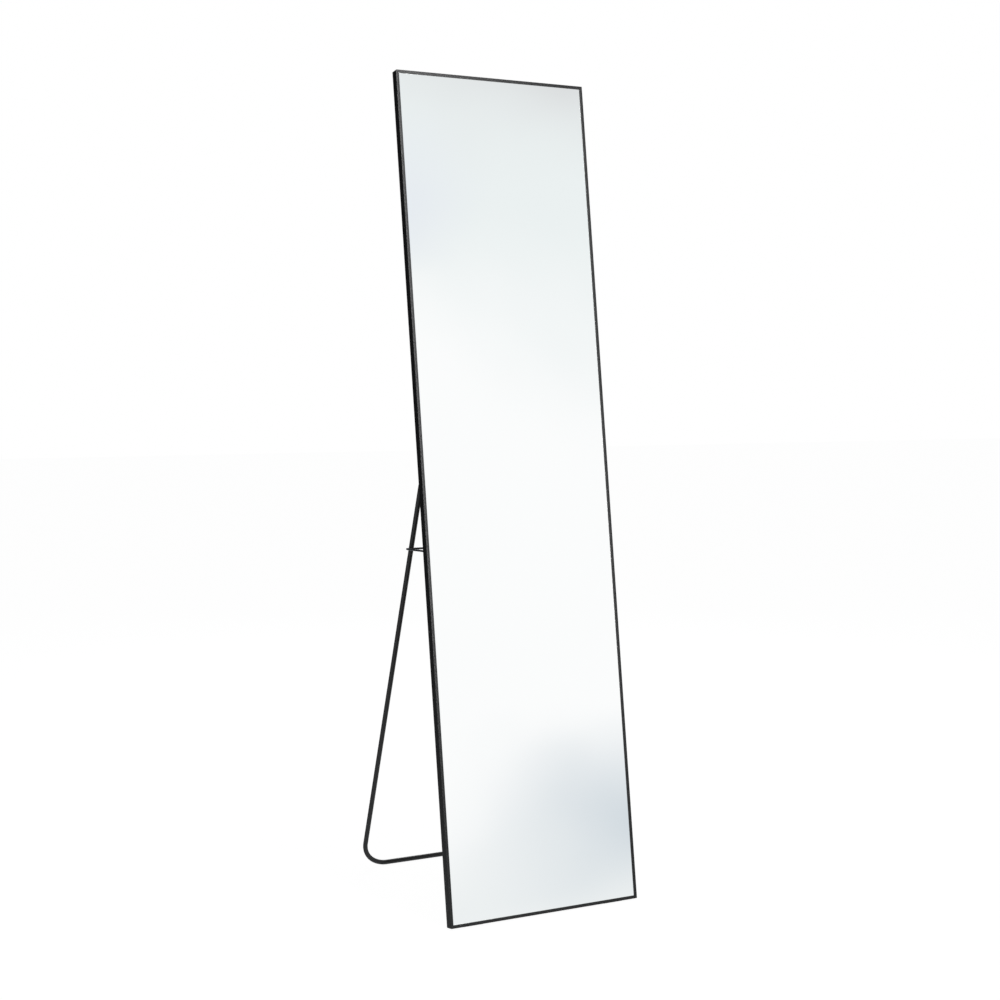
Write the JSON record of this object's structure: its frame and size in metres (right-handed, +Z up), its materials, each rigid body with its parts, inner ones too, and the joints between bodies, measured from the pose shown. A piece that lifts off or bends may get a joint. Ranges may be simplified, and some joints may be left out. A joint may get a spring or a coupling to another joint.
{
  "type": "leaning floor mirror",
  "caption": "Tall narrow framed mirror that leans back on a folding U-shaped rod stand, held open by a wire stay.",
  "frame": {"origin": "on the floor, at the bottom centre of the outer box with the stand open", "axes": "+Z up, +Y from the mirror's face towards the stand, +X across"},
  "size_m": [0.4, 0.466, 1.5875],
  "materials": {
    "frame_black": "satin black anodised aluminium",
    "mirror_face": "silvered float glass",
    "board": "hardboard",
    "foam": "foam tape",
    "rod_black": "satin charcoal powder coat",
    "wire_steel": "dark plated steel wire",
    "bracket_steel": "black coated sheet steel",
    "fastener_steel": "zinc plated steel",
    "key_steel": "zinc plated steel",
    "nylon": "nylon",
    "pad_rubber": "matt rubber"
  },
  "bodies": {
    "mirror": {"left_stile": "frame_black", "right_stile": "frame_black", "bottom_rail": "frame_black", "corner_key_bottom_left": "key_steel", "corner_key_bottom_right": "key_steel", "top_rail": "frame_black", "corner_key_top_left": "key_steel", "corner_key_top_right": "key_steel", "corner_key_screws": "fastener_steel", "mirror_glass": "mirror_face", "foam_tape": "foam", "backing_board": "board", "floor_pad_left": "pad_rubber", "floor_pad_right": "pad_rubber", "hinge_bracket_left": "bracket_steel", "hinge_bolt_left": "fastener_steel", "hinge_nut_left": "fastener_steel", "hinge_bracket_right": "bracket_steel", "hinge_bolt_right": "fastener_steel", "hinge_nut_right": "fastener_steel", "hinge_bracket_screws": "fastener_steel", "hinge_washers": "nylon", "stay_clip_left": "bracket_steel", "stay_clip_right": "bracket_steel", "stay_clip_screws": "fastener_steel"},
    "stand": {"stand_rod": "rod_black"},
    "stay": {"stay_wire": "wire_steel"}
  },
  "joints": [
    {"name": "stand_hinge", "type": "hinge", "parent": "mirror", "child": "stand", "pos_m": [0, -0.08853, 0.83003], "axis": [-1, 0, 0], "range_deg": [0, 29]},
    {"name": "stay_hinge", "type": "hinge", "parent": "mirror", "child": "stay", "pos_m": [0, -0.11665, 0.68957], "axis": [-1, 0, 0], "range_deg": [0, 88]}
  ],
  "couplings": [
    {"joint": "stay_hinge", "follows": "stand_hinge", "ratio": 2.97}
  ]
}
